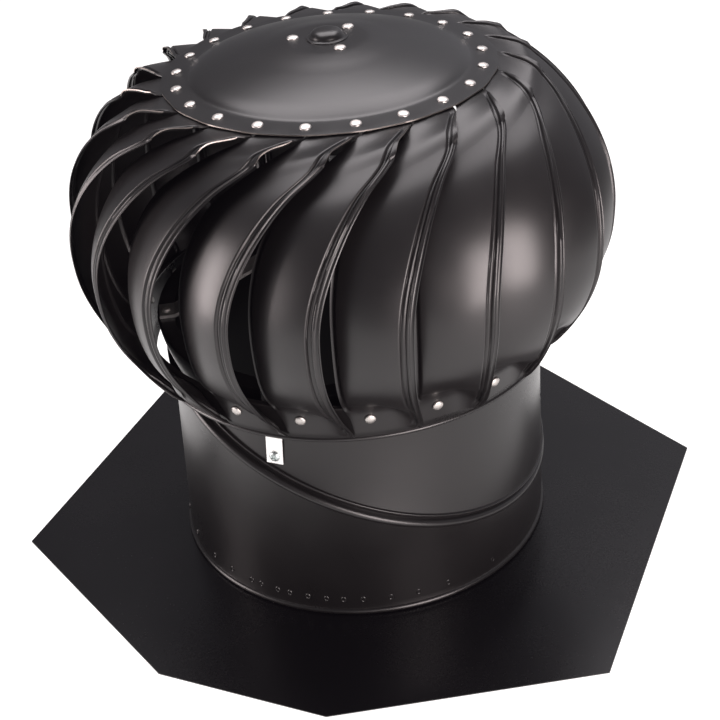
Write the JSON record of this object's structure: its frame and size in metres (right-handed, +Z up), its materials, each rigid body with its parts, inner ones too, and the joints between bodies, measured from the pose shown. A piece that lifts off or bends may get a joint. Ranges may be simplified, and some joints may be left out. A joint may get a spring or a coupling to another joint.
{
  "type": "roof turbine ventilator",
  "caption": "Roof turbine ventilator: a ball of curved sheet vanes spins on a fixed shaft above a swivel-jointed neck and flat flashing, drawing air up the duct.",
  "frame": {"origin": "centre of the underside of the flat roof flashing, on the turbine's spin axis at rest", "axes": "+Z up along the spin axis; +X towards the flashing's long corner-to-corner direction, near the low side of the neck's swivel seam"},
  "size_m": [0.5796, 0.5144, 0.4236],
  "materials": {
    "black_paint": "semi-gloss black baked enamel on sheet steel",
    "flashing_paint": "satin black paint on sheet steel",
    "rivet_aluminium": "bright aluminium rivet heads",
    "zinc_plate": "pale zinc plating",
    "bright_steel": "plain ground steel"
  },
  "bodies": {
    "base": {"base_flashing": "flashing_paint", "flashing_neck": "flashing_paint", "lower_elbow": "black_paint", "foot_clinches": "black_paint"},
    "collar": {"upper_elbow": "black_paint", "swivel_band": "black_paint", "brace_arm_1": "black_paint", "brace_arm_2": "black_paint", "brace_arm_3": "black_paint", "brace_hub": "black_paint", "brace_rivets": "rivet_aluminium", "shaft": "bright_steel", "thrust_collar": "bright_steel", "retaining_clip": "bright_steel", "hold_down_tab": "zinc_plate", "tab_screw": "zinc_plate"},
    "turbine_head": {"bottom_ring": "black_paint", "crown_plate": "black_paint", "crown_cap": "black_paint", "crown_rivets": "rivet_aluminium", "rim_rivets": "rivet_aluminium", "ring_rivets": "rivet_aluminium", "bearing_housing": "black_paint", "upper_bearing": "bright_steel", "lower_bearing": "bright_steel", "vane_01": "black_paint", "vane_02": "black_paint", "vane_03": "black_paint", "vane_04": "black_paint", "vane_05": "black_paint", "vane_06": "black_paint", "vane_07": "black_paint", "vane_08": "black_paint", "vane_09": "black_paint", "vane_10": "black_paint", "vane_11": "black_paint", "vane_12": "black_paint", "vane_13": "black_paint", "vane_14": "black_paint", "vane_15": "black_paint", "vane_16": "black_paint", "vane_17": "black_paint", "vane_18": "black_paint", "vane_19": "black_paint", "vane_20": "black_paint", "vane_21": "black_paint"}
  },
  "joints": [
    {"name": "pitch_adjust", "type": "hinge", "parent": "base", "child": "collar", "pos_m": [0.00467, -0.00112, 0.123], "axis": [0.3955, -0.095, 0.9135], "range_deg": [-150, 150]},
    {"name": "head_spin", "type": "hinge", "parent": "collar", "child": "turbine_head", "pos_m": [0, 0, 0.34], "axis": [0, 0, 1], "continuous": true}
  ]
}
